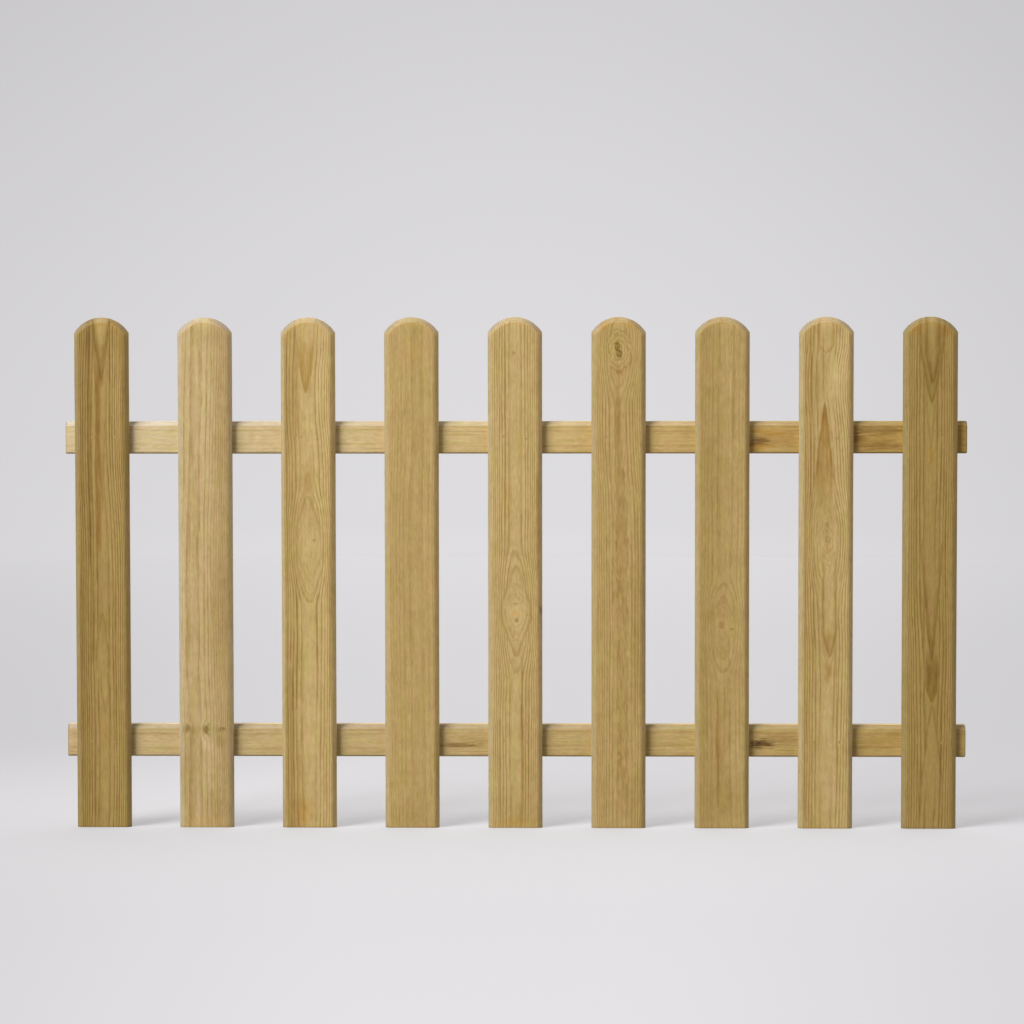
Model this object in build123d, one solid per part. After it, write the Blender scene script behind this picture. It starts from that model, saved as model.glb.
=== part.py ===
from build123d import *
import os

# A straight run of garden fence: nine upright pickets fixed across the front of two level rails.
# All sizes are in millimetres. +X runs along the fence, -Y is the front and +Z is up.
# The origin is the middle of the lower rail's left-hand end face.

os.makedirs("parts", exist_ok=True)

# Pickets
picket_count = 9
picket_pitch = 202.0
picket_width = 106.0
picket_thickness = 18.0
picket_height = 1000.0
arch_rise = 30.0
bevel = 8.0
back_arris = 1.0

# Rails
rail_height = 63.0
rail_depth = 30.0
rail_overhang = 20.0
rail_bevel = 8.0
rail_edge_radius = 4.0
rail_end_arris = 1.0
lower_rail_above_foot = 170.0
rail_spacing = 595.0

# Places that follow from the sizes above
half_width = picket_width / 2
arch_radius = (half_width**2 + arch_rise**2) / (2 * arch_rise)
arch_centre_z = picket_height - arch_radius
rail_length = (picket_count - 1) * picket_pitch + picket_width + 2 * rail_overhang
first_picket_x = rail_overhang + half_width
rail_front_y = -rail_depth / 2
foot_z = -lower_rail_above_foot


def edge_profile(reach):
    """The board's outer edge from back to front at a distance of reach from its middle: arris, side and bevel."""
    return [
        (reach - back_arris, 0),
        (reach, -back_arris),
        (reach, bevel - picket_thickness),
        (reach - bevel, -picket_thickness),
    ]


def make_picket():
    """One board standing on its foot, its back face on the XZ plane and its width centred on X = 0."""
    # The plank is its moulded cross-section, run from foot to top.
    right_edge = edge_profile(half_width)
    left_edge = [(-x, y) for x, y in reversed(right_edge)]
    section = make_face(Polyline(*right_edge, *left_edge, close=True))
    plank = extrude(section, picket_height)

    # The arched top has the same edge turned about the arch's centre, so the bevels meet in mitres at the shoulders.
    turned_edge = make_face(Polyline((0, 0), *edge_profile(arch_radius), (0, -picket_thickness), close=True))
    arch_axis = Axis((0, 0, arch_centre_z), (0, 1, 0))
    arch = revolve(Pos(0, 0, arch_centre_z) * turned_edge, arch_axis)
    stem = Box(
        2 * arch_radius,
        picket_thickness,
        arch_centre_z,
        align=(Align.CENTER, Align.MAX, Align.MIN),
    )
    return plank & (stem + arch)


def make_rail():
    """One rail from X = 0, centred on its own length axis. The upper front edge is bevelled, the others are eased."""
    # Drawn with depth across the page and height up it, so the front is on the left.
    section = Rectangle(rail_depth, rail_height)
    upper_front = section.vertices().sort_by(Axis.X)[:2].sort_by(Axis.Y)[-1]
    section = chamfer(upper_front, rail_bevel)
    eased = section.vertices().filter_by(lambda corner: corner.X > 0 or corner.Y < 0)
    section = fillet(eased, rail_edge_radius)
    bar = extrude(Plane.YZ * section, rail_length)
    ends = bar.faces().filter_by(Axis.X)
    return chamfer(ends.edges(), rail_end_arris)


picket = make_picket()
for number in range(picket_count):
    x = first_picket_x + number * picket_pitch
    placed = Pos(x, rail_front_y, foot_z) * picket
    export_step(placed, f"parts/picket_{number + 1}.step")

rail = make_rail()
export_step(rail, "parts/lower_rail.step")
export_step(Pos(0, 0, rail_spacing) * rail, "parts/upper_rail.step")
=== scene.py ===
import math
import random

import bmesh
import bpy
from mathutils import Euler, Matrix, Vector, noise


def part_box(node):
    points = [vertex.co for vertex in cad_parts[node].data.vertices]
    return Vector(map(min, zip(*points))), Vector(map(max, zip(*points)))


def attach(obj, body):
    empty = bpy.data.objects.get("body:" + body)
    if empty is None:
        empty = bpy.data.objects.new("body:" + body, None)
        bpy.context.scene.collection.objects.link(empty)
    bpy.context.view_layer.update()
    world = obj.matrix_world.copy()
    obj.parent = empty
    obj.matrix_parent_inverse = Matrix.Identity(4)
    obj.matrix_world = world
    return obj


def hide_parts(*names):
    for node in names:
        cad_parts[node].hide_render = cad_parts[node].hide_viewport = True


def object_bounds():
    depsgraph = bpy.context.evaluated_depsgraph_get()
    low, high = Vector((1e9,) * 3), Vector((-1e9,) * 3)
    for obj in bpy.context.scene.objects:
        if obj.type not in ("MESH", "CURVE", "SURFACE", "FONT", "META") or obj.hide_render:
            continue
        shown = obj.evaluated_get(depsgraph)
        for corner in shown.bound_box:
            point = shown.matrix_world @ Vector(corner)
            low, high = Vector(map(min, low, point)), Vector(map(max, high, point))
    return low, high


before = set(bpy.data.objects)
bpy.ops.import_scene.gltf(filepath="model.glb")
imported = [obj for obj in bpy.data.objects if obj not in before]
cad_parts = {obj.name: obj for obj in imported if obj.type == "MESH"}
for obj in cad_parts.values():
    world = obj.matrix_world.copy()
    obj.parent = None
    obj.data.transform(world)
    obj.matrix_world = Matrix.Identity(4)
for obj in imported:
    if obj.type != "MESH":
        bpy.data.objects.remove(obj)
cad_low, cad_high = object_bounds()

MM = 0.001

# Sizes that the boards share with the solids, in millimetres.
HALF_WIDTH = 53.0
THICKNESS = 18.0
HEIGHT = 1000.0
ARCH_RISE = 30.0
BEVEL = 7.2             # the solid's is 8, before its inner arris is eased
BEVEL_EASE = 10.0       # radius that turns the bevel into the front face
BEVEL_EASE_STEPS = 9
ARCH_RADIUS = (HALF_WIDTH ** 2 + ARCH_RISE ** 2) / (2 * ARCH_RISE)
ARCH_CENTRE = HEIGHT - ARCH_RADIUS
RAIL_HEIGHT = 63.0
RAIL_DEPTH = 30.0
RAIL_RADIUS = 4.0
RAIL_BEVEL = 8.0
RAIL_BEVEL_EASE = 1.5
RAIL_END_RADIUS = 2.8

# How the meshes are divided.
SIDE_ROWS = 150
ARCH_STEPS = 36
FACE_COLUMNS = 12
RAIL_STATIONS = 180
SKIN = 0.12          # the planed face stays this far inside the solid, so that nail heads can stand on it
SHARP_ANGLE = 32.0
RIPPLE = 0.05        # how far the planed faces rise and fall, over these lengths
RIPPLE_ACROSS, RIPPLE_ALONG = 9.0, 120.0
EDGE_WANDER = 0.09   # how far the outer edges wander
ARRIS_WANDER = 0.25  # and the arris between the bevel and the face
RAIL_WANDER = 0.10
RAIL_END_STEPS = 5
NAIL_SIDES = 20
NAIL_PROFILE = ((2.0, 0.55), (2.0, 0.10), (1.75, 0.04), (1.1, 0.02), (0.5, 0.035))   # (radius, depth)


# The meshes

def smooth_mesh(name, points, faces, angle=SHARP_ANGLE):
    """A new object from points in millimetres, shaded smooth except across sharp corners."""
    mesh = bpy.data.meshes.new(name)
    mesh.from_pydata([(x * MM, y * MM, z * MM) for x, y, z in points], [], faces)
    mesh.validate()
    solid = bmesh.new()
    solid.from_mesh(mesh)
    bmesh.ops.recalc_face_normals(solid, faces=solid.faces)
    solid.to_mesh(mesh)
    solid.free()
    mesh.shade_smooth()
    mesh.set_sharp_from_angle(angle=math.radians(angle))
    made = bpy.data.objects.new(name, mesh)
    bpy.context.scene.collection.objects.link(made)
    return made


def rounded(before, corner, after):
    """Three points that round the corner of a section off between two points beside it."""
    middle = tuple(0.25 * p + 0.5 * q + 0.25 * r for p, q, r in zip(before, corner, after))
    return [before, middle, after]


def picket_layers():
    """The moulded section from back to front, as (depth below the front, inset, rise of the foot)."""
    back = THICKNESS
    layers = [(back, 2.2, 0.5), (back, 1.2, 0.5)]
    layers += rounded((back, 1.1, 0.5), (back - 0.1, 0.2, 0.1), (back - 1.0, 0.0, 0.0))
    layers += [(back - 1.6, 0.0, 0.0), (BEVEL + 1.0, 0.0, 0.0)]
    layers += rounded((BEVEL + 0.9, 0.0, 0.0), (BEVEL, 0.0, 0.0), (BEVEL - 0.6, 0.6, 0.0))
    layers += [(BEVEL - 1.2, 1.2, 0.0)]
    tangent = BEVEL_EASE * math.tan(math.radians(22.5))
    for step in range(BEVEL_EASE_STEPS + 1):
        angle = math.radians(45.0) * (1 - step / BEVEL_EASE_STEPS)
        depth = SKIN + BEVEL_EASE * (1 - math.cos(angle))
        inset = BEVEL + tangent - BEVEL_EASE * math.sin(angle)
        layers.append((depth, inset, 0.5 * step / BEVEL_EASE_STEPS))
    return layers


def picket_outline(inset, foot, wander):
    """One turn round the board: up the left side, over the arch, down the right side, along the foot."""
    half = HALF_WIDTH - inset
    radius = ARCH_RADIUS - inset
    shoulder = math.sqrt(radius ** 2 - half ** 2)
    left, right = [], []
    for row in range(SIDE_ROWS + 1):
        height = foot + (ARCH_CENTRE + shoulder - foot) * row / SIDE_ROWS
        left.append((-half + wander(-1, height), height))
        right.append((half - wander(1, height), height))
    start = math.atan2(shoulder, half)
    arch = []
    for step in range(1, ARCH_STEPS):
        angle = math.pi - start - (math.pi - 2 * start) * step / ARCH_STEPS
        reach = radius - 0.05 - wander(0, HEIGHT + 40 * angle)
        arch.append((reach * math.cos(angle), ARCH_CENTRE + reach * math.sin(angle)))
    low = [
        (right[0][0] + (left[0][0] - right[0][0]) * column / FACE_COLUMNS, foot)
        for column in range(1, FACE_COLUMNS)
    ]
    return left + arch + right[::-1] + low


def face_grid(points, ring, depth_at, faces, flip):
    """Fills the face inside the last outline with rows of quads, from the foot to the top of the arch."""
    turn = 2 * (SIDE_ROWS + 1) + ARCH_STEPS - 1
    rows = []
    for row in range((turn + 1) // 2):
        a, b = ring[row], ring[turn - 1 - row]
        if a == b:
            rows.append([a] * (FACE_COLUMNS + 1))
            continue
        if row == 0:
            rows.append([a] + ring[turn:][::-1] + [b])
            continue
        line = [a]
        for column in range(1, FACE_COLUMNS):
            share = column / FACE_COLUMNS
            x = points[a][0] + (points[b][0] - points[a][0]) * share
            z = points[a][2] + (points[b][2] - points[a][2]) * share
            line.append(len(points))
            points.append((x, depth_at(x, z), z))
        rows.append(line + [b])
    for lower, upper in zip(rows, rows[1:]):
        for column in range(FACE_COLUMNS):
            corners = [lower[column], lower[column + 1], upper[column + 1], upper[column]]
            corners = list(dict.fromkeys(corners))
            if len(corners) > 2:
                faces.append(corners[::-1] if flip else corners)


def make_picket(name, number):
    """One upright board, with its foot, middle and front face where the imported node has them."""
    low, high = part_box(name)
    origin = Vector(((low.x + high.x) / 2, low.y, low.z))
    seed = 17.0 * number

    def ripple(x, z):
        return RIPPLE * noise.noise(Vector((x / RIPPLE_ACROSS, z / RIPPLE_ALONG, seed)))

    points, faces, rings = [], [], []
    for depth, inset, foot in picket_layers():
        share = ARRIS_WANDER if inset > 1.0 and depth < BEVEL else EDGE_WANDER

        def wander(side, height):
            return share * (1.0 + noise.noise(Vector((side * 5.0, height / 70.0, seed))))

        outline = picket_outline(inset, foot, wander)
        rings.append(list(range(len(points), len(points) + len(outline))))
        points += [(x, depth, z) for x, z in outline]
    for back, front in zip(rings, rings[1:]):
        count = len(back)
        for i in range(count):
            j = (i + 1) % count
            faces.append([back[i], back[j], front[j], front[i]])
    face_grid(points, rings[-1], lambda x, z: SKIN + RIPPLE + ripple(x, z), faces, False)
    face_grid(points, rings[0], lambda x, z: THICKNESS - RIPPLE + ripple(x, z), faces, True)
    made = smooth_mesh(name.replace("picket", "board"), points, faces)
    made.location = origin
    return made


def eased_polygon(corners, steps=6):
    """Points round a closed polygon of (x, y, radius) corners, each corner turned in an arc."""
    points = []
    count = len(corners)
    for i, (x, y, radius) in enumerate(corners):
        corner = Vector((x, y))
        back = (Vector(corners[i - 1][:2]) - corner).normalized()
        on = (Vector(corners[(i + 1) % count][:2]) - corner).normalized()
        half = back.angle(on) / 2
        centre = corner + (back + on).normalized() * radius / math.sin(half)
        first = corner + back * radius / math.tan(half) - centre
        turn = first.angle_signed(corner + on * radius / math.tan(half) - centre)
        for step in range(steps + 1):
            angle = -turn * step / steps
            points.append((
                centre.x + first.x * math.cos(angle) - first.y * math.sin(angle),
                centre.y + first.x * math.sin(angle) + first.y * math.cos(angle),
            ))
    return points


def with_long_sides_split(points, longest=5.0):
    """The same closed outline with points along its long sides, two of them close to the ends."""
    made = []
    for here, there in zip(points, points[1:] + points[:1]):
        made.append(here)
        if math.dist(here, there) > longest:
            for share in (0.04, 0.25, 0.5, 0.75, 0.96):
                made.append(tuple(p + (q - p) * share for p, q in zip(here, there)))
    return made


def rail_section(shrink):
    """The section of a rail as (depth, height) about its middle, shrunk evenly for the ends."""
    deep, high = RAIL_DEPTH / 2 - shrink, RAIL_HEIGHT / 2 - shrink
    return with_long_sides_split(eased_polygon([
        (-deep, -high, RAIL_RADIUS),
        (deep, -high, RAIL_RADIUS),
        (deep, high, RAIL_RADIUS),
        (-deep + RAIL_BEVEL, high, RAIL_BEVEL_EASE),
        (-deep, high - RAIL_BEVEL, RAIL_BEVEL_EASE),
    ]))


def make_rail(name, number):
    """One horizontal rail, with its left end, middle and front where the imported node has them."""
    low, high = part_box(name)
    length = (high.x - low.x) / MM
    origin = Vector((low.x, (low.y + high.y) / 2, (low.z + high.z) / 2))
    end = []
    for step in range(RAIL_END_STEPS + 1):
        angle = math.radians(90.0 * step / RAIL_END_STEPS)
        end.append((RAIL_END_RADIUS * (1 - math.cos(angle)), RAIL_END_RADIUS * (1 - math.sin(angle))))
    between = length - 2 * RAIL_END_RADIUS
    stations = list(end)
    stations += [(RAIL_END_RADIUS + between * i / RAIL_STATIONS, 0.0) for i in range(1, RAIL_STATIONS)]
    stations += [(length - x, shrink) for x, shrink in reversed(end)]
    points, faces, rings = [], [], []
    for x, shrink in stations:
        rings.append([])
        for depth, height in rail_section(shrink):
            at = Vector((x / 90.0, depth / 12.0, height / 12.0 + 31.0 * number))
            inward = RAIL_WANDER * (1.0 + noise.noise(at))
            scale = 1.0 - inward / RAIL_HEIGHT
            rings[-1].append(len(points))
            points.append((x, depth * scale, height * scale))
    for a, b in zip(rings, rings[1:]):
        count = len(a)
        for i in range(count):
            j = (i + 1) % count
            faces.append([a[i], a[j], b[j], b[i]])
    faces.append(rings[0][::-1])
    faces.append(rings[-1])
    made = smooth_mesh(name.replace("rail", "bar"), points, faces)
    made.location = origin
    return made


def make_nails(name, spots):
    """Round nail heads, slightly domed, each lying in the face of a board."""
    points, faces = [], []
    for x, z in spots:
        rings = []
        for radius, depth in NAIL_PROFILE:
            rings.append([])
            for i in range(NAIL_SIDES):
                angle = 2 * math.pi * i / NAIL_SIDES
                rings[-1].append(len(points))
                points.append((x + radius * math.cos(angle), depth, z + radius * math.sin(angle)))
        for a, b in zip(rings, rings[1:]):
            for i in range(NAIL_SIDES):
                j = (i + 1) % NAIL_SIDES
                faces.append([a[i], a[j], b[j], b[i]])
        faces.append(rings[-1])
        faces.append(rings[0][::-1])
    return smooth_mesh(name, points, faces)


# The shading

def linear(red, green, blue):
    """A colour given on the usual 0 to 255 scale, as the shader's own linear values."""
    def one(value):
        value /= 255.0
        return value / 12.92 if value <= 0.04045 else ((value + 0.055) / 1.055) ** 2.4
    return (one(red), one(green), one(blue), 1.0)


class Field:
    """A value that the shader works out at each point. Arithmetic on it adds the nodes."""

    def __init__(self, tree, socket):
        self.tree, self.socket = tree, socket

    def math(self, kind, *others, clamp=False):
        node = self.tree.nodes.new("ShaderNodeMath")
        node.operation = kind
        node.use_clamp = clamp
        for slot, value in enumerate((self, *others)):
            plug(self.tree, node.inputs[slot], value)
        return Field(self.tree, node.outputs[0])

    def __add__(self, other):
        return self.math("ADD", other)

    def __sub__(self, other):
        return self.math("SUBTRACT", other)

    def __mul__(self, other):
        return self.math("MULTIPLY", other)

    def __truediv__(self, other):
        return self.math("DIVIDE", other)

    __radd__, __rmul__ = __add__, __mul__

    def ease(self, start, end, low=0.0, high=1.0):
        """Rises smoothly from low to high as the value goes from start to end."""
        node = self.tree.nodes.new("ShaderNodeMapRange")
        node.interpolation_type = "SMOOTHSTEP"
        for slot, value in enumerate((self, start, end, low, high)):
            plug(self.tree, node.inputs[slot], value)
        return Field(self.tree, node.outputs[0])

    def along_curve(self, points):
        """The value on a smooth curve through (position, value) points."""
        lowest = min(v for _, v in points)
        spread = max(v for _, v in points) - lowest or 1.0
        first, last = points[0][0], points[-1][0]
        node = self.tree.nodes.new("ShaderNodeFloatCurve")
        curve = node.mapping.curves[0]
        for position, value in points[1:-1]:
            curve.points.new((position - first) / (last - first), (value - lowest) / spread)
        ends = sorted(curve.points, key=lambda p: p.location.x)
        ends[0].location = (0.0, (points[0][1] - lowest) / spread)
        ends[-1].location = (1.0, (points[-1][1] - lowest) / spread)
        node.mapping.update()
        plug(self.tree, node.inputs["Value"], (self + (-first)) * (1.0 / (last - first)))
        return Field(self.tree, node.outputs[0]) * spread + lowest


def plug(tree, socket, value):
    if isinstance(value, Field):
        tree.links.new(value.socket, socket)
    else:
        socket.default_value = value


class Wood:
    """The node tree of one board. Places are in millimetres: across, deep (from the front) and along."""

    def __init__(self, name, axes, seed):
        self.material = bpy.data.materials.new(name)
        self.material.use_nodes = True
        self.tree = self.material.node_tree
        self.tree.nodes.clear()
        self.seed = seed
        place = self.tree.nodes.new("ShaderNodeTexCoord")
        normal = self.split(place.outputs["Normal"])
        at = self.split(place.outputs["Object"])
        order = [("X", "Y", "Z").index(letter) for letter in axes]
        self.across, self.deep, self.along = (at[i] * (1.0 / MM) for i in order)
        self.end_on = normal[order[2]].math("ABSOLUTE")
        self.slope = normal[order[0]].math("ABSOLUTE")
        self.leaning = normal[order[0]]
        self.point = self.join(self.across, self.deep, self.along)

    def split(self, socket):
        node = self.tree.nodes.new("ShaderNodeSeparateXYZ")
        self.tree.links.new(socket, node.inputs[0])
        return [Field(self.tree, s) for s in node.outputs]

    def join(self, x, y, z):
        node = self.tree.nodes.new("ShaderNodeCombineXYZ")
        for slot, value in enumerate((x, y, z)):
            plug(self.tree, node.inputs[slot], value)
        return Field(self.tree, node.outputs[0])

    def scaled(self, point, scale, offset):
        node = self.tree.nodes.new("ShaderNodeVectorMath")
        node.operation = "MULTIPLY_ADD"
        plug(self.tree, node.inputs[0], point)
        node.inputs[1].default_value = scale
        node.inputs[2].default_value = offset
        return Field(self.tree, node.outputs[0])

    def cloud(self, across, along, detail=1.0, shift=0.0, point=None):
        """Noise about zero, within about -0.5 to 0.5, whose blots have these sizes in millimetres."""
        node = self.tree.nodes.new("ShaderNodeTexNoise")
        node.inputs["Scale"].default_value = 1.0
        node.inputs["Detail"].default_value = detail
        size = (1.0 / across, 1.0 / across, 1.0 / along)
        start = (self.seed * 3.7 + shift, shift * 2.3, self.seed * 1.9)
        where = self.scaled(point or self.point, size, start)
        plug(self.tree, node.inputs["Vector"], where)
        return Field(self.tree, node.outputs[0]) + (-0.5)

    def reach(self, across, along, half_across, half_along, through=0.0):
        """Distance from a point in units of an oval's half sizes."""
        scale = (1.0 / half_across, through, 1.0 / half_along)
        where = self.scaled(self.point, scale, (-across / half_across, 0.0, -along / half_along))
        node = self.tree.nodes.new("ShaderNodeVectorMath")
        node.operation = "LENGTH"
        plug(self.tree, node.inputs[0], where)
        return Field(self.tree, node.outputs["Value"])

    def mixed(self, first, second, share, blend="MIX"):
        node = self.tree.nodes.new("ShaderNodeMix")
        node.data_type = "RGBA"
        node.blend_type = blend
        plug(self.tree, node.inputs[0], share)
        plug(self.tree, node.inputs[6], first)
        plug(self.tree, node.inputs[7], second)
        return Field(self.tree, node.outputs[2])

    def mottled(self, colour, amount):
        """The colour made lighter or darker by a share, with its blue changing most and its red least."""
        factors = self.scaled(amount, NOISE_BIAS, (1.0, 1.0, 1.0))
        node = self.tree.nodes.new("ShaderNodeVectorMath")
        node.operation = "MULTIPLY"
        plug(self.tree, node.inputs[0], colour)
        plug(self.tree, node.inputs[1], factors)
        return Field(self.tree, node.outputs[0])

    def finish(self, colour, roughness, height, lift):
        bump = self.tree.nodes.new("ShaderNodeBump")
        bump.inputs["Strength"].default_value = 1.0
        bump.inputs["Distance"].default_value = lift * MM
        plug(self.tree, bump.inputs["Height"], height)
        shader = self.tree.nodes.new("ShaderNodeBsdfPrincipled")
        plug(self.tree, shader.inputs["Base Color"], colour)
        plug(self.tree, shader.inputs["Roughness"], roughness)
        shader.inputs["Specular IOR Level"].default_value = 0.35
        self.tree.links.new(bump.outputs[0], shader.inputs["Normal"])
        out = self.tree.nodes.new("ShaderNodeOutputMaterial")
        self.tree.links.new(shader.outputs[0], out.inputs[0])
        return self.material


def times(colour, factors):
    return tuple(c * f for c, f in zip(colour[:3], factors)) + (1.0,)


NOISE_BIAS = (0.85, 1.0, 1.45)
LATE = (0.70, 0.62, 0.43)        # latewood against earlywood
GREENISH = (0.97, 1.01, 0.88)
PINKISH = (1.02, 0.985, 1.02)
END_TINT = (0.74, 0.81, 1.12)
TIP_ROUNDING = 80.0               # how blunt the tongues' tips are, in millimetres along the board
TONGUE_BLUR = 2.0                 # how soft the tongues' edges are, in millimetres
# painted light: the left bevel, which faces the lamp, is made paler and bluer as a highlight looks, the
# right one a touch bluer
BEVEL_LIGHT_TINTS = ((0.81, 0.92, 1.23), (0.99, 0.995, 1.07))   # on the left and on the right
# painted shade on the right half of the arch, which faces away from the lamp
ARCH_RIGHT_PAINTED_SHADE = (0.84, 0.86, 0.93)
KNOT_TINT = (0.84, 0.74, 0.58)
KNOT_RIM_TINT = (0.66, 0.58, 0.46)
KNOT_FLECK_TINT = (0.34, 0.27, 0.20)
# painted shade along the foot of each board, where it meets the floor
FOOT_PAINTED_SHADE = (0.74, 0.68, 0.56)
SOAKED_TINT = (0.96, 0.80, 0.55)
BUMP = 0.12                       # millimetres
ROUGHNESS = 0.70


def wood(name, axes, seed, tones, line, ring=3.2, pith=42.0, late=LATE, contrast=1.0,
         centre=0.5, tongues=(), eyes=(), calm=(), streaks=(), knots=(), patches=(), smears=(), curls=(),
         side=None, bevel_light_tints=BEVEL_LIGHT_TINTS):
    """The material of one board.

    tones    earlywood colour, or (position, colour) stops along the grain
    line     (along, across, ring) points: where the rings' middle lies and which ring shows there
    centre   how strong the rings are at their middle, against their sides
    tongues  (across, tip along, slope, widest, arm, length, colour factors, amount): a V of one ring that
             opens up the board, or down where the slope is negative, filled near its tip and paler
             between its arms
    eyes     (across, along, half width, half height, rings, amount, power): faint closed rings round a
             knot, with the rings beside them pushed apart; power 1 is pointed, 2 is an oval
    calm     (across, along, half width, half height) where the rings hardly show
    streaks  (across, from, to, half width, colour factors, amount): one line along the grain
    knots    (across, along, half width, half height, push in rings, darkness)
    patches  (across, along, half width, half height, colour factors, amount), soft
    smears   the same, broken up into streaks along the grain
    curls    (across, along, half width, half height, rings) where the grain wanders more
    side     colour factors that build up towards the left edge, and towards the right edge
    """
    w = Wood(name, axes, seed)

    def multiplied(colour, factors, share):
        return w.mixed(colour, w.mixed(colour, tuple(factors) + (1.0,), 1.0, "MULTIPLY"), share)

    # the grain's course: slow drift, finer waviness
    sway = w.cloud(60.0, 330.0, 1.0) * 6.0 + w.cloud(9.0, 60.0, 1.0, 5.0) * 1.5
    middle = w.along.along_curve([(a, c) for a, c, _ in line])
    rings_there = w.along.along_curve([(a, p) for a, _, p in line])
    x = w.across + sway + middle * (-1.0)
    y = w.deep + rings_there * ring + pith
    # the depth of the pith keeps the ring that shows at the middle equal to the line's value
    radius = (x * x + y * y).math("SQRT") + (-pith)
    phase = radius * (1.0 / ring) + w.cloud(6.0, 90.0, 1.0, 13.0) * 0.55

    for across, along, half_across, half_along, push, dark in knots:
        near = w.reach(across, along, half_across, half_along)
        phase = phase + near.ease(3.2, 0.0) * push
    seen = []
    for across, along, half_across, half_along, count, amount, power in eyes:
        off = (w.across + sway * 0.5 + (-across)).math("ABSOLUTE") * (1.0 / half_across)
        off = off.math("POWER", power)
        up = (w.along + (-along)) * (1.0 / half_along)
        near = (off + up * up).math("POWER", 1.0 / power)
        phase = phase - near.ease(2.6, 0.8) * 2.0
        seen.append((near, count, amount))
    if curls:
        eddy = w.cloud(6.5, 24.0, 1.0, 9.0)
        for across, along, half_across, half_along, size in curls:
            near = w.reach(across, along, half_across, half_along).ease(1.0, 0.2)
            phase = phase + eddy * near * size
    f = phase.math("FRACT")
    number = phase.math("FLOOR")

    # each ring has its own strength, which comes and goes along the board
    tag = w.join(number * 3.7, 0.0, w.along)
    strength = w.cloud(1.0, 160.0, 1.0, 3.0, point=tag) * 1.2 + 0.78
    fade = w.cloud(14.0, 42.0, 1.0, 21.0) * 1.5 + 1.0
    sides = x.math("ABSOLUTE").ease(4.0, 26.0, centre, 1.0)
    darkness = f.ease(0.46, 0.95) * f.ease(1.0, 0.96) * strength * fade * sides * contrast
    for near, _, _ in seen:
        darkness = darkness * near.ease(0.75, 1.1, 0.2, 1.0)
    for across, along, half_across, half_along in calm:
        darkness = darkness * w.reach(across, along, half_across, half_along).ease(0.5, 1.0, 0.25, 1.0)

    # tongues, where a ring is cut so flat that it fills a V
    arms = []
    for across, tip, slope, widest, arm, length, factors, amount in tongues:
        up = (w.along + (-tip)) * (1.0 if slope > 0 else -1.0)
        off = (w.across + sway + w.cloud(10.0, 30.0, 1.0, 17.0) * 3.0 + (-across)).math("ABSOLUTE")
        opened = up.math("MAXIMUM", 0.0)
        opened = (opened * (opened + TIP_ROUNDING)).math("SQRT") + up.math("MINIMUM", 0.0)
        past = off - (opened * abs(slope)).math("MINIMUM", widest)
        inside = past.ease(TONGUE_BLUR, -TONGUE_BLUR) * up.ease(length, length * 0.5)
        arms.append((inside * past.ease(-arm, -0.1 * arm) * amount, factors))
        darkness = darkness * (inside * (-0.75) + 1.0)
    darkness = darkness.math("MULTIPLY", 1.0, clamp=True)

    # base tone, from the table or from stops along the grain
    if isinstance(tones[0], (int, float)):
        base = w.mixed(tones, times(tones, late), darkness)
    else:
        node = w.tree.nodes.new("ShaderNodeValToRGB")
        node.color_ramp.interpolation = "LINEAR"
        first, last = tones[0][0], tones[-1][0]
        while len(node.color_ramp.elements) < len(tones):
            node.color_ramp.elements.new(0.5)
        for element, (position, colour) in zip(node.color_ramp.elements, tones):
            element.position = (position - first) / (last - first)
            element.color = colour
        plug(w.tree, node.inputs[0], (w.along + (-first)) * (1.0 / (last - first)))
        base = multiplied(Field(w.tree, node.outputs[0]), late, darkness)

    bevelled = w.slope.ease(0.10, 0.60) * w.slope.ease(0.98, 0.85)
    if side:
        flat = bevelled * (-1.0) + 1.0
        base = multiplied(base, side[0], w.across.ease(6.0, -46.0) * flat)
        base = multiplied(base, side[1], w.across.ease(-6.0, 46.0) * flat)
    broken = w.cloud(2.0, 40.0, 2.0, 39.0) * 1.6 + 0.9
    for share, factors in arms:
        base = multiplied(base, factors, share * broken)
    if seen:
        ruffle = w.cloud(9.0, 16.0, 1.0, 27.0) * 0.5
    for near, count, amount in seen:
        oval = ((near + ruffle) * count).math("FRACT")
        shade = oval.ease(0.35, 0.85) * oval.ease(1.0, 0.9) * near.ease(1.15, 0.85) * near.ease(0.05, 0.3)
        base = multiplied(base, UMBER, shade * (broken * amount))
    for across, low, high, half_width, factors, amount in streaks:
        near = (w.across + sway * 0.6 + (-across)).math("ABSOLUTE").ease(half_width, 0.3 * half_width)
        span = w.along.ease(low - 30.0, low + 30.0) * w.along.ease(high + 30.0, high - 30.0)
        base = multiplied(base, factors, near * span * broken * amount)
    hue = w.cloud(13.0, 60.0, 1.0, 31.0)
    base = multiplied(base, GREENISH, hue.ease(0.0, 0.2))
    base = multiplied(base, PINKISH, hue.ease(0.0, -0.2))
    if patches:
        ragged = w.cloud(9.0, 45.0, 2.0, 35.0) * 0.9
    for across, along, half_across, half_along, factors, amount in patches:
        near = (w.reach(across, along, half_across, half_along, 0.02) + ragged).ease(1.0, 0.15) * amount
        base = multiplied(base, factors, near)
    if smears:
        streaky = w.cloud(2.2, 26.0, 2.0, 37.0)
    for across, along, half_across, half_along, factors, amount in smears:
        near = w.reach(across, along, half_across, half_along, 0.02) + streaky * 1.6
        base = multiplied(base, factors, near.ease(1.0, 0.45) * amount)

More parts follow.
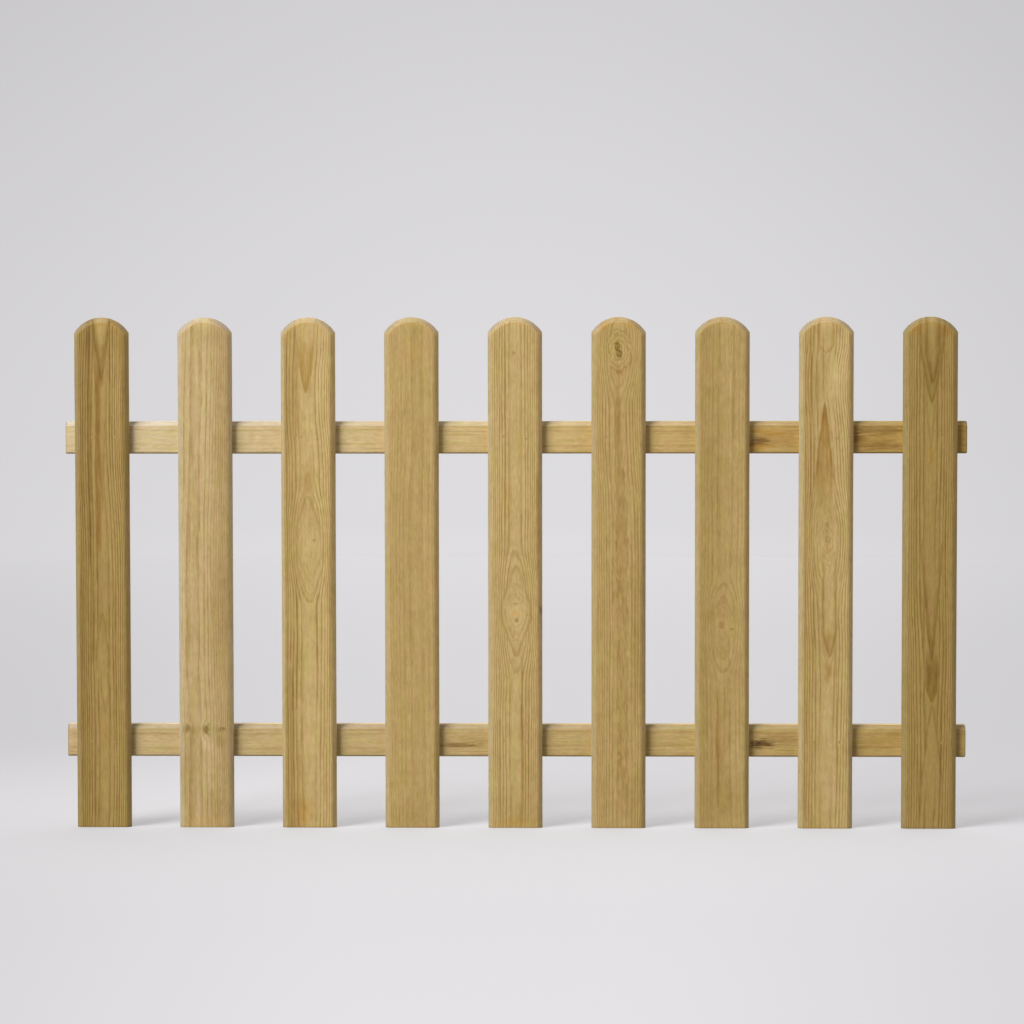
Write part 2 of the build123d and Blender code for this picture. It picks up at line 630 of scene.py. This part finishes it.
    # knots: browner wood with dark flecks and a thin rim
    for across, along, half_across, half_along, push, dark in knots:
        if dark <= 0:
            continue
        near = w.reach(across, along, half_across, half_along) + w.cloud(4.0, 6.0, 1.0, across) * 0.7
        flecks = w.cloud(2.6, 4.2, 1.0, along).ease(-0.03, 0.12) * near.ease(1.2, 0.6)
        rim = near.ease(0.60, 0.95) * near.ease(1.35, 1.0)
        base = multiplied(base, KNOT_TINT, near.ease(1.2, 0.7) * min(1.0, dark * 1.2))
        base = multiplied(base, KNOT_RIM_TINT, rim * (dark * dark))
        base = multiplied(base, KNOT_FLECK_TINT, flecks * dark)

    # painted shade: the lowest few millimetres of each board are darkened where it stands on the floor
    base = multiplied(base, FOOT_PAINTED_SHADE, w.along.ease(5.5, 0.5) * 0.6)

    # painted light on the bevels: each is tinted by the side it faces, the one towards the lamp paler and
    # bluer as a highlight; painted shade on the right half of the arch; cut ends are paler, the ends in
    # blots
    base = multiplied(base, bevel_light_tints[0], bevelled * w.leaning.ease(0.0, -0.1))
    base = multiplied(base, bevel_light_tints[1], bevelled * w.leaning.ease(0.0, 0.1))
    base = multiplied(base, ARCH_RIGHT_PAINTED_SHADE, w.end_on.ease(0.1, 0.3) * w.leaning.ease(0.1, 0.4))
    cut = w.end_on.ease(0.15, 0.60)
    base = multiplied(base, END_TINT, cut)
    soaked = w.cloud(9.0, 9.0, 2.0, 61.0).ease(0.02, 0.22) * cut
    base = multiplied(base, SOAKED_TINT, soaked)

    # fine fibres and streaks
    streak = w.cloud(2.2, 70.0, 2.0, 41.0)
    dash = w.cloud(3.0, 12.0, 2.0, 44.0)
    mottle = w.cloud(9.0, 20.0, 2.0, 49.0)
    fibre = w.cloud(0.8, 24.0, 1.0, 47.0)
    blot = w.cloud(40.0, 34.0, 2.0, 53.0)
    base = w.mottled(base, streak * 0.34 + dash * 0.38 + fibre * 0.20 + mottle * 0.24 + blot * 0.20)

    roughness = darkness * (-0.10) + fibre * 0.12 + ROUGHNESS
    height = darkness * 0.5 + fibre * 0.8 + streak * 0.4
    return w.finish(base, roughness, height, BUMP)


# the tones of the different kinds of wood
TANNED = linear(161, 133, 74)
DULL_HONEY = linear(176, 147, 90)
HONEY = linear(180, 151, 94)
STRAW = linear(188, 160, 104)
CREAM = linear(188, 162, 114)
RAIL_CREAM = linear(202, 182, 140)
RAIL_HONEY = linear(196, 167, 108)
RAIL_TANNED = linear(170, 136, 66)
RAIL_STRAW = linear(190, 166, 119)
RAIL_BROWN = linear(184, 154, 90)

# factors that turn one tone into another
ORANGE = (1.04, 0.90, 0.62)
BROWN = (0.84, 0.76, 0.60)
PALE = (1.08, 1.10, 1.14)
OLIVE = (0.92, 0.94, 0.84)
DARK = (0.55, 0.46, 0.33)
DULLER = (0.84, 0.80, 0.68)
LIGHTER = (1.10, 1.13, 1.22)
UMBER = (0.675, 0.58, 0.34)
AMBER = (0.80, 0.68, 0.41)

# painted highlight over the top of every picket, where the lamp falls brightest
TOP_PAINTED_HIGHLIGHT = (0, 996, 70, 26, (1.12, 1.12, 1.14), 0.9)

BOARDS = {
    "picket_1": dict(
        tones=TANNED, ring=2.5, pith=34.0, contrast=1.6, centre=0.3, late=(0.60, 0.52, 0.34),
        side=[(0.84, 0.81, 0.70), (1.03, 1.04, 1.06)],
        line=[(0, 0, 4.45), (150, 2, 4.35), (320, 2, 4.25), (450, 2, 4.2), (600, 0, 4.4), (700, -4, 4.6),
              (800, -5, 4.8), (900, -3, 4.95), (1000, -1, 5.05)],
        tongues=[(0.5, 876, 0.13, 30, 12, 260, UMBER, 1.0), (0.5, 908, 0.14, 8, 16, 60, UMBER, 0.5),
                 (1, 640, 0.05, 30, 8, 460, UMBER, 0.6),
                 (4, 225, 0.12, 9, 6, 110, UMBER, 0.7), (0, 425, -0.12, 14, 6, 150, UMBER, 0.7)],
        streaks=[(-24, 520, 990, 5, UMBER, 0.8), (-15, 520, 900, 2.2, LIGHTER, 1.0),
                 (-7, 540, 900, 8.5, AMBER, 1.0),
                 (18, 790, 980, 3, UMBER, 0.6), (42, 700, 980, 4, AMBER, 0.7),
                 (-38, 300, 800, 5, OLIVE, 1.0),
                 (-20, 330, 520, 2.5, UMBER, 0.6), (-42, 80, 500, 4, UMBER, 0.4),
                 (24, 160, 480, 3, UMBER, 0.4)],
        patches=[(0, 885, 11, 30, UMBER, 0.5), (0, 970, 12, 50, LIGHTER, 1.0),
                 (5, 190, 8, 50, ORANGE, 0.6),
                 (24, 850, 24, 120, LIGHTER, 0.7), (0, 430, 30, 130, DULLER, 0.5),
                 (-22, 960, 16, 60, DULLER, 0.7),
                 (30, 990, 10, 30, ORANGE, 0.8)],
    ),
    "picket_2": dict(
        tones=CREAM, ring=2.2, pith=75.0, contrast=0.85, centre=1.0,
        side=[(1.0, 1.0, 0.98), (0.84, 0.80, 0.70)],
        line=[(0, -20, 4.4), (170, -20, 4.5), (400, -26, 4.45), (700, -20, 4.55), (1000, -14, 4.5)],
        knots=[(-1, 193, 4.5, 8.0, 1.4, 0.6), (32, 195, 4.5, 3.5, 0.6, 0.4),
               (23, 191, 4.0, 2.5, 0.4, 0.35),
               (-37, 196, 6.0, 5.0, 0.6, 0.3)],
        smears=[(0, 194, 8, 11, DARK, 0.4), (31, 194, 11, 5, DARK, 0.4), (-37, 196, 12, 11, DARK, 0.4),
                (27, 168, 12, 18, UMBER, 0.5),
                (0, 190, 60, 14, OLIVE, 0.8)],
        patches=[(2, 166, 22, 20, LIGHTER, 0.8), (14, 150, 34, 24, PALE, 0.6),
                 (0, 12, 60, 16, ORANGE, 0.4), (0, 194, 60, 12, OLIVE, 0.8),
                 (-8, 840, 44, 150, LIGHTER, 0.6), (24, 430, 40, 190, DULLER, 0.7),
                 (-34, 110, 26, 170, DULLER, 0.9),
                 (14, 40, 40, 60, DULLER, 0.6), (30, 760, 10, 200, DULLER, 0.4)],
    ),
    "picket_3": dict(
        tones=STRAW, ring=2.8, pith=36.0, contrast=1.35,
        side=[(0.86, 0.83, 0.71), (1.03, 1.04, 1.06)],
        line=[(0, 0, 7.4), (60, 0, 7.3), (300, 0, 7.15), (400, 1, 7.15), (550, 0, 7.1), (680, -1, 7.15),
              (760, -4, 7.25), (850, -8, 7.3), (930, -5, 7.2), (1000, -2, 7.1)],
        tongues=[(-3, 852, 0.16, 13, 22, 124, AMBER, 1.0), (-5, 852, 0.13, 30, 6, 400, UMBER, 0.4),
                 (0, 652, -0.26, 24, 8, 110, UMBER, 0.6), (0, 700, -0.16, 12, 14, 120, BROWN, 0.7),
                 (3, 455, 0.28, 26, 5, 110, UMBER, 0.6), (3, 485, 0.28, 24, 5, 70, UMBER, 0.4)],
        streaks=[(-43, 40, 960, 5, UMBER, 0.5), (-24, 720, 980, 3, UMBER, 0.5),
                 (-23, 240, 500, 3, UMBER, 0.5),
                 (16, 240, 470, 2.5, UMBER, 0.5), (41, 240, 520, 3, UMBER, 0.6),
                 (14, 620, 760, 2.5, LIGHTER, 1.0),
                 (44, 400, 900, 3, UMBER, 0.4), (-31, 20, 300, 4, UMBER, 0.5)],
        eyes=[(2, 556, 25, 66, 3, 0.15, 1.4)],
        calm=[(2, 780, 16, 100), (4, 240, 16, 190)],
        knots=[(12, 565, 2.2, 2.6, 0.4, 0.8)],
        patches=[(-12, 25, 20, 50, ORANGE, 0.9), (26, 870, 24, 90, LIGHTER, 0.7),
                 (2, 800, 12, 60, PALE, 0.6),
                 (0, 560, 30, 26, PALE, 0.6), (4, 240, 18, 180, PALE, 0.4),
                 (-30, 30, 40, 70, DULLER, 0.8),
                 (-36, 820, 16, 130, DULLER, 0.5), (-36, 250, 16, 200, DULLER, 0.5)],
        smears=[(0, 690, 12, 40, BROWN, 0.6), (-20, 100, 6, 90, BROWN, 0.6)],
    ),
    "picket_4": dict(
        tones=HONEY, ring=2.3, pith=85.0, contrast=0.5, centre=1.0,
        line=[(0, 14, 4.4), (300, 10, 4.5), (600, 8, 4.45), (800, 12, 4.6), (1000, 10, 4.5)],
        patches=[(4, 930, 30, 40, ORANGE, 0.35), (-20, 500, 24, 420, DULLER, 0.25),
                 (0, 20, 60, 60, DULLER, 0.5)],
    ),
    "picket_5": dict(
        tones=STRAW, ring=2.6, pith=36.0, contrast=1.6,
        line=[(0, 0, 3.4), (200, 1, 3.25), (420, 3, 3.2), (560, 0, 3.15),
              (700, 0, 3.25), (1000, 0, 3.2)],
        tongues=[(2, 345, 0.31, 31, 7, 120, UMBER, 0.7), (2, 368, 0.28, 26, 6, 80, UMBER, 0.4),
                 (2, 516, -0.28, 31, 8, 130, UMBER, 0.5)],
        streaks=[(-19, 520, 960, 2.5, UMBER, 0.5), (14, 20, 330, 3, UMBER, 0.8),
                 (25, 20, 300, 2, UMBER, 0.6),
                 (-30, 20, 220, 2.5, UMBER, 0.6), (18, 560, 960, 2, LIGHTER, 0.9),
                 (44, 500, 700, 4, UMBER, 0.5),
                 (-36, 600, 900, 2, LIGHTER, 0.8)],
        eyes=[(1, 424, 30, 60, 4, 0.3, 1.8)],
        knots=[(3, 409, 3.0, 3.6, 0.4, 0.8), (1, 441, 5.5, 1.8, 0.2, 0.5),
               (-1, 930, 3.5, 3.0, 0.4, 0.25)],
        patches=[(-2, 423, 10, 9, (1.06, 0.90, 0.74), 1.0), (0, 12, 60, 14, ORANGE, 0.7),
                 (0, 30, 60, 60, DULLER, 0.6),
                 (50, 427, 6, 14, DARK, 0.8), (0, 428, 26, 38, (1.10, 1.11, 1.24), 0.9),
                 (-18, 650, 12, 60, ORANGE, 0.35),
                 (26, 130, 24, 120, DULLER, 0.4)],
    ),
    "picket_6": dict(
        tones=HONEY, ring=2.5, pith=42.0, contrast=1.2,
        line=[(0, 6, 4.5), (300, 8, 4.5), (600, 6, 4.55), (720, 0, 4.65), (820, -2, 4.85), (893, 0, 4.9),
              (1000, 0, 4.9)],
        eyes=[(0, 935, 26, 44, 4, 0.7, 2.0)],
        knots=[(-3, 943, 5.0, 8.5, 0.0, 0.85), (2, 928, 5.0, 7.5, 0.0, 0.85)],
        curls=[(4, 520, 26, 330, 1.6), (26, 930, 22, 60, 1.8), (4, 170, 26, 220, 1.6)],
        patches=[(-2, 800, 8, 120, AMBER, 0.8), (-26, 985, 20, 14, ORANGE, 0.8),
                 (26, 985, 20, 14, ORANGE, 0.7),
                 (36, 400, 18, 330, DULLER, 0.6), (0, 936, 24, 32, PALE, 0.7),
                 (0, 935, 10, 18, DULLER, 0.9), (0, 893, 14, 12, AMBER, 0.6),
                 (30, 40, 26, 70, DULLER, 0.6)],
        smears=[(4, 500, 16, 330, BROWN, 0.6), (6, 170, 16, 190, BROWN, 0.5)],
    ),
    "picket_7": dict(
        tones=DULL_HONEY, ring=2.4, pith=80.0, contrast=0.6, centre=1.0,
        side=[(0.90, 0.88, 0.80), (1.05, 1.07, 1.12)],
        line=[(0, 6, 4.3), (300, 2, 4.5), (500, 4, 4.5),
              (600, 5, 4.35), (1000, 8, 4.3)],
        knots=[(-1, 400, 5.0, 7.0, 0.4, 0.5), (19, 392, 3.5, 2.5, 0.3, 0.5)],
        eyes=[(2, 394, 25, 52, 4, 0.3, 1.6)],
        streaks=[(-8, 60, 260, 4, AMBER, 0.45), (4, 120, 300, 2.5, UMBER, 0.4),
                 (16, 560, 900, 2, LIGHTER, 0.8)],
        patches=[(4, 400, 30, 40, PALE, 0.5), (-10, 700, 30, 180, DULLER, 0.45),
                 (0, 60, 50, 80, DULLER, 0.6),
                 (24, 150, 24, 110, LIGHTER, 0.5), (-6, 170, 7, 110, ORANGE, 0.4)],
        smears=[(0, 396, 26, 40, OLIVE, 0.25)],
    ),
    "picket_8": dict(
        tones=STRAW, ring=2.7, pith=36.0, contrast=1.6,
        side=[(0.90, 0.87, 0.78), (1.05, 1.07, 1.12)],
        line=[(0, 0, 6.4), (100, 1, 6.3), (220, 2, 6.2), (330, 3, 6.0), (450, 1, 5.6), (540, 2, 5.4),
              (640, 0, 5.7), (740, -2, 6.1), (830, -8, 6.3), (870, -10, 6.35), (940, -4, 6.2),
              (1000, -2, 6.1)],
        tongues=[(-1, 930, 0.42, 16, 8, 70, AMBER, 0.9),
                 (-4, 832, -0.10, 15, 24, 250, (0.74, 0.61, 0.34), 1.0),
                 (-4, 836, -0.10, 30, 6, 330, UMBER, 0.7), (7, 336, 0.18, 14.5, 9, 240, UMBER, 1.0),
                 (6, 300, 0.13, 24, 6, 260, UMBER, 0.5)],
        streaks=[(-7, 850, 960, 3, UMBER, 0.7), (-30, 640, 960, 3, UMBER, 0.5),
                 (-40, 20, 960, 2.5, UMBER, 0.4),
                 (21, 150, 350, 2.5, UMBER, 0.6), (42, 600, 900, 3, AMBER, 0.6),
                 (-24, 300, 520, 3, UMBER, 0.4)],
        eyes=[(3, 568, 25, 56, 4, 0.3, 1.7)],
        calm=[(10, 880, 16, 70), (2, 130, 22, 110)],
        knots=[(3, 596, 5.5, 6.0, 0.0, 0.25), (3, 567, 7.0, 7.0, 0.0, 0.25),
               (4, 547, 5.5, 5.0, 0.0, 0.25),
               (25, 170, 4.0, 2.0, 0.3, 0.5)],
        patches=[(12, 880, 16, 60, PALE, 0.9), (2, 568, 22, 40, PALE, 0.7), (3, 572, 9, 34, DULLER, 0.9),
                 (8, 553, 9, 8, ORANGE, 0.6), (26, 890, 22, 90, LIGHTER, 0.7),
                 (6, 372, 10, 30, AMBER, 0.8), (5, 306, 12, 26, AMBER, 0.7),
                 (-6, 802, 9, 34, AMBER, 0.8), (-24, 860, 18, 90, DULLER, 0.5),
                 (0, 590, 26, 60, DULLER, 0.5),
                 (0, 380, 60, 90, DULLER, 0.3)],
        smears=[(-4, 700, 10, 90, BROWN, 0.6)],
    ),
    "picket_9": dict(
        tones=TANNED, ring=2.6, pith=36.0, contrast=1.7,
        line=[(0, 0, 6.5), (100, 2, 6.4), (230, 3, 6.2), (320, 3, 6.0), (430, 0, 5.6), (560, -1, 5.3),
              (700, 0, 5.15), (838, 0, 5.1), (1000, -1, 5.3)],
        tongues=[(3, 870, 0.16, 15, 12, 260, UMBER, 1.0), (2, 832, 0.17, 26, 11, 300, UMBER, 0.8),
                 (1, 740, 0.08, 14, 7, 140, UMBER, 0.4), (4, 248, 0.22, 12, 22, 110, UMBER, 1.0),
                 (3, 326, 0.09, 30, 11, 300, UMBER, 1.0), (5, 245, -0.12, 22, 6, 240, UMBER, 0.8)],
        streaks=[(-12, 360, 450, 3, UMBER, 0.7), (22, 90, 240, 3, UMBER, 0.7),
                 (-44, 500, 860, 2.5, LIGHTER, 1.0),
                 (-28, 400, 900, 2.5, UMBER, 0.4), (30, 300, 700, 3, UMBER, 0.5),
                 (-20, 20, 120, 2.5, UMBER, 0.5)],
        patches=[(2, 728, 9, 26, ORANGE, 0.9), (4, 320, 16, 70, BROWN, 0.6),
                 (-30, 975, 20, 20, ORANGE, 0.7),
                 (30, 975, 20, 20, ORANGE, 0.7), (0, 970, 8, 40, LIGHTER, 0.9),
                 (4, 900, 40, 100, DULLER, 0.7),
                 (14, 330, 30, 150, DULLER, 0.5)],
        smears=[(2, 560, 20, 130, BROWN, 0.35)],
    ),
}

RAILS = {
    "upper_rail": dict(
        tones=[(0, RAIL_CREAM), (1000, RAIL_HONEY), (1762, RAIL_TANNED)],
        # painted light on the upper bevel, which faces the lamp: tinted duller and bluer
        ring=2.4, pith=70.0, contrast=0.55, bevel_light_tints=((1.0, 1.0, 1.0), (0.79, 0.86, 1.17)), centre=1.0,
        line=[(0, -4, 4.4), (500, 2, 4.5), (1000, -3, 4.4), (1762, 0, 4.5)],
        patches=[(10, 440, 8, 40, ORANGE, 0.8), (-14, 400, 14, 50, PALE, 0.8),
                 (12, 1500, 9, 40, BROWN, 0.7)],
        smears=[(-7, 1356, 11, 30, DARK, 1.0), (-18, 1352, 10, 44, ORANGE, 1.0),
                (-4, 1385, 22, 70, BROWN, 0.8),
                (14, 1590, 13, 90, DARK, 0.6), (-10, 1560, 20, 80, BROWN, 0.9),
                (6, 770, 4, 60, BROWN, 0.5),
                (-18, 1600, 10, 60, DARK, 0.6), (8, 1530, 12, 34, ORANGE, 0.9),
                (-2, 1545, 12, 30, DARK, 0.6),
                (10, 1370, 10, 50, ORANGE, 0.8)],
    ),
    "lower_rail": dict(
        tones=[(0, RAIL_STRAW), (1762, RAIL_BROWN)],
        ring=2.4, pith=66.0, contrast=0.55, centre=1.0,
        # painted light on the upper bevel, which faces the lamp: tinted darker, duller and bluer
        bevel_light_tints=((1.0, 1.0, 1.0), (0.705, 0.75, 0.98)),
        line=[(0, 3, 4.5), (500, -2, 4.4), (1000, 4, 4.5), (1762, 0, 4.4)],
        knots=[(-4, 1352, 5.0, 9.0, 1.6, 0.8), (-6, 813, 4.0, 8.0, 1.5, 0.2)],
        smears=[(-6, 1366, 12, 34, (0.36, 0.28, 0.19), 1.0), (2, 1400, 17, 56, DARK, 0.55),
                (-9, 772, 6, 54, DARK, 0.9), (-2, 790, 18, 64, BROWN, 0.5),
                (-2, 1600, 22, 96, BROWN, 0.7),
                (-8, 1180, 8, 60, BROWN, 0.4)],
    ),
}


def nail_material():
    w = Wood("nail_steel", "XYZ", 5.0)
    spot = w.cloud(1.2, 1.2, 2.0)
    colour = w.mixed(linear(173, 146, 98), linear(146, 118, 74), spot.ease(-0.15, 0.2))
    shader_roughness = spot * 0.3 + 0.55
    return w.finish(colour, shader_roughness, spot, 0.05)


# The fence

for number in range(1, 10):
    node = f"picket_{number}"
    board = make_picket(node, number)
    look = dict(BOARDS[node])
    look["patches"] = [*look["patches"], TOP_PAINTED_HIGHLIGHT]
    board.data.materials.append(wood(f"wood_{number}", "XYZ", number * 1.37, **look))
    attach(board, "root")
    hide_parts(node)

for number, node in enumerate(("lower_rail", "upper_rail"), 1):
    rail = make_rail(node, number)
    rail.data.materials.append(wood(f"wood_{node}", "ZYX", 20.0 + number * 2.1, **RAILS[node]))
    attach(rail, "root")
    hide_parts(node)

NAIL_OFFSET = 23.0        # of each nail from the middle of its board
NAIL_STRAY = 1.5          # sideways
NAIL_DRIFT = 2.5          # upwards and downwards
# where the photograph shows marks that look like nails, across the board
SEEN_NAILS = {("upper", 1): (-19.0, 27.0), ("upper", 2): (-26.0, 20.0), ("upper", 3): (-13.0, 18.0)}

nail_look = nail_material()
wobble = random.Random(4)
for level in ("lower", "upper"):
    rail_low, rail_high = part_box(f"{level}_rail")
    middle_z = (rail_low.z + rail_high.z) / 2 / MM
    spots = []
    for number in range(1, 10):
        low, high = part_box(f"picket_{number}")
        usual = [side * NAIL_OFFSET + wobble.uniform(-NAIL_STRAY, NAIL_STRAY) for side in (-1, 1)]
        for offset in SEEN_NAILS.get((level, number), usual):
            height = middle_z + wobble.uniform(-NAIL_DRIFT, NAIL_DRIFT)
            spots.append(((low.x + high.x) / 2 / MM + offset, height))
    nails = make_nails(f"{level}_nails", spots)
    nails.location.y = cad_low.y
    nails.data.materials.append(nail_look)
    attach(nails, "root")


# The stage, the light and the camera

MIDDLE = Vector((0.881, 0.0))
FLOOR = cad_low.z


def towards(azimuth, elevation):
    a, e = math.radians(azimuth), math.radians(elevation)
    return Vector((math.sin(a) * math.cos(e), -math.cos(a) * math.cos(e), math.sin(e)))


KEY_AZIMUTH, KEY_ELEVATION, KEY_SPREAD = -50.0, 42.0, 32.0
KEY_DISTANCE, KEY_STRENGTH = 15.0, 4.87
KEY_BACK = towards(KEY_AZIMUTH, KEY_ELEVATION) * -KEY_DISTANCE
KEY_HEIGHT = -KEY_BACK.z
FLOOR_ALBEDO, FLOOR_GLOW = 0.26, 0.352
WORLD_STRENGTH = 0.24
WALL_RADIUS, WALL_TOP = 9.8, 7.0
SWEEP_RADIUS = 1.8                # of the curve between floor and backdrop
CAMERA_PLACE = (1.0351, -7.033, 0.8298)
CAMERA_DIP, CAMERA_ROLL, CAMERA_TURN = 3.1025, 0.0745, 1.3047   # degrees
CAMERA_LENS, SENSOR_WIDTH = 126.4, 36.0


def bare_material(name):
    """A new material with its place in metres from the fence's middle, as (material, shader, x, y, z)."""
    material = bpy.data.materials.new(name)
    material.use_nodes = True
    tree = material.node_tree
    place = tree.nodes.new("ShaderNodeTexCoord")
    parts = tree.nodes.new("ShaderNodeSeparateXYZ")
    tree.links.new(place.outputs["Object"], parts.inputs[0])
    shader = tree.nodes["Principled BSDF"]
    shader.inputs["Roughness"].default_value = 0.9
    shader.inputs["Specular IOR Level"].default_value = 0.0
    return material, shader, *(Field(tree, s) for s in parts.outputs)


def grey(tree, tone):
    """The same value in all three channels, a touch towards lilac."""
    node = tree.nodes.new("ShaderNodeCombineColor")
    plug(tree, node.inputs[0], tone)
    plug(tree, node.inputs[1], tone * 0.982)
    plug(tree, node.inputs[2], tone * 1.004)
    return Field(tree, node.outputs[0])


def floor_material():
    """Pale paper, lit partly by itself so that the shadows on it stay soft, with painted shade behind the
    fence and a painted pool of light round it.
    """
    material, shader, x, y, z = bare_material("paper")
    tree = material.node_tree
    # painted shade and a painted pool of light: darker behind the fence, far in front of it and out to the
    # sides
    painted_shade_behind = y.ease(0.1, 1.6, 0.0, 0.14) + y.ease(2.6, 7.0, 0.0, -0.015) + x * y * 0.0013
    before = y.ease(-0.2, -1.3, 0.0, 0.035) + y.ease(-2.5, -7.5, 0.0, 0.13)
    pool = y.math("MAXIMUM", -2.0) * 0.142 + 1.0
    out = x.math("ABSOLUTE")
    painted_dimming_aside = (out / pool).ease(0.2, 1.3, 0.0, 0.105) + out.ease(2.5, 8.0, 0.0, 0.06)
    tone = (painted_shade_behind + before + painted_dimming_aside) * (-1.0) + 1.0
    key_x, key_y = x + KEY_BACK.x, y + KEY_BACK.y
    from_key = (key_x * key_x + key_y * key_y) * (1.0 / KEY_HEIGHT ** 2) + 1.0
    even = (from_key * (KEY_HEIGHT / KEY_DISTANCE) ** 2).math("POWER", 0.77)
    plug(tree, shader.inputs["Base Color"], grey(tree, tone * even * FLOOR_ALBEDO))
    plug(tree, shader.inputs["Emission Color"], grey(tree, tone * FLOOR_GLOW))
    shader.inputs["Emission Strength"].default_value = 1.0
    return material


def wall_material():
    """A glowing backdrop, evenly bright but for a painted pool of light: a little brighter behind the
    middle of the fence and at its foot, dimmer higher up.
    """
    material, shader, x, y, z = bare_material("backdrop_paper")
    tree = material.node_tree
    off = (x * x + (y + (-WALL_RADIUS)) * (y + (-WALL_RADIUS))).math("SQRT")
    foot_glow = x.math("ABSOLUTE").ease(1.2, 2.2, 1.035, 1.012)
    tone = (x * (-0.010) + 0.982) * off.ease(0.0, 4.5, 0.745, 0.620) * z.ease(0.2, 4.0, 1.0, 0.82)
    tone = tone * z.ease(0.0, 0.12, foot_glow, 1.0) * z.ease(0.0, 0.5, 1.025, 1.0)
    shader.inputs["Base Color"].default_value = (0.0, 0.0, 0.0, 1.0)
    plug(tree, shader.inputs["Emission Color"], grey(tree, tone))
    shader.inputs["Emission Strength"].default_value = 1.0
    return material


def turned(name, profile, sides=128):
    """A surface turned about the upright line through the fence's middle, from (radius, height) points."""
    points, faces = [], []
    for radius, height in profile:
        for i in range(sides):
            angle = 2 * math.pi * i / sides
            points.append((radius * math.cos(angle) / MM, radius * math.sin(angle) / MM, height / MM))
    for ring in range(len(profile) - 1):
        for i in range(sides):
            j = (i + 1) % sides
            a, b = ring * sides, (ring + 1) * sides
            faces.append([a + i, a + j, b + j, b + i])
    made = smooth_mesh(name, points, faces, 60.0)
    made.location = (MIDDLE.x, MIDDLE.y, FLOOR)
    return made


floor_radius = WALL_RADIUS - SWEEP_RADIUS
floor = turned("floor", [(radius, 0.0) for radius in (0.001, 1.0, 2.0, 4.0, floor_radius)])
sweep = []
for degrees in range(0, 91, 6):
    a = math.radians(degrees)
    sweep.append((floor_radius + SWEEP_RADIUS * math.sin(a), SWEEP_RADIUS * (1 - math.cos(a))))
wall = turned("backdrop", sweep + [(WALL_RADIUS, 4.0), (WALL_RADIUS, WALL_TOP)])
for stage_piece, look in ((floor, floor_material()), (wall, wall_material())):
    stage_piece.data.materials.append(look)
    stage_piece.visible_diffuse = False
    stage_piece.visible_glossy = False
wall.visible_shadow = False


def soft_light(name, azimuth, elevation, spread, strength):
    """A wide, distant soft box. Azimuth 0 is in front of the fence, negative to the left, in degrees."""
    light = bpy.data.lights.new(name, "SUN")
    light.energy = strength
    light.angle = math.radians(spread)
    made = bpy.data.objects.new(name, light)
    bpy.context.scene.collection.objects.link(made)
    made.rotation_euler = towards(azimuth, elevation).to_track_quat("Z", "Y").to_euler()


def key_light():
    """The main lamp, near enough for the tops of the boards to be brighter than their feet."""
    light = bpy.data.lights.new("key", "POINT")
    light.energy = KEY_STRENGTH * 4 * math.pi * KEY_DISTANCE ** 2
    light.shadow_soft_size = KEY_DISTANCE * math.sin(math.radians(KEY_SPREAD / 2))
    made = bpy.data.objects.new("key", light)
    bpy.context.scene.collection.objects.link(made)
    centre = Vector((MIDDLE.x, MIDDLE.y, FLOOR))
    made.location = centre + towards(KEY_AZIMUTH, KEY_ELEVATION) * KEY_DISTANCE


key_light()
soft_light("side", 88, 25, 60, 1.4)
soft_light("back", 165, 40, 80, 1.8)

world = bpy.data.worlds.new("studio")
world.use_nodes = True
world.node_tree.nodes["Background"].inputs[0].default_value = (1.0, 1.0, 1.0, 1.0)
world.node_tree.nodes["Background"].inputs[1].default_value = WORLD_STRENGTH
bpy.context.scene.world = world

camera_data = bpy.data.cameras.new("camera")
camera_data.lens = CAMERA_LENS
camera_data.sensor_width = SENSOR_WIDTH
camera = bpy.data.objects.new("camera", camera_data)
bpy.context.scene.collection.objects.link(camera)
camera.location = CAMERA_PLACE
camera_angles = (90 - CAMERA_DIP, CAMERA_ROLL, CAMERA_TURN)
camera.rotation_euler = Euler([math.radians(angle) for angle in camera_angles], "XYZ")
camera_data.clip_end = 100.0
bpy.context.scene.camera = camera
bpy.context.scene.view_settings.view_transform = "Standard"
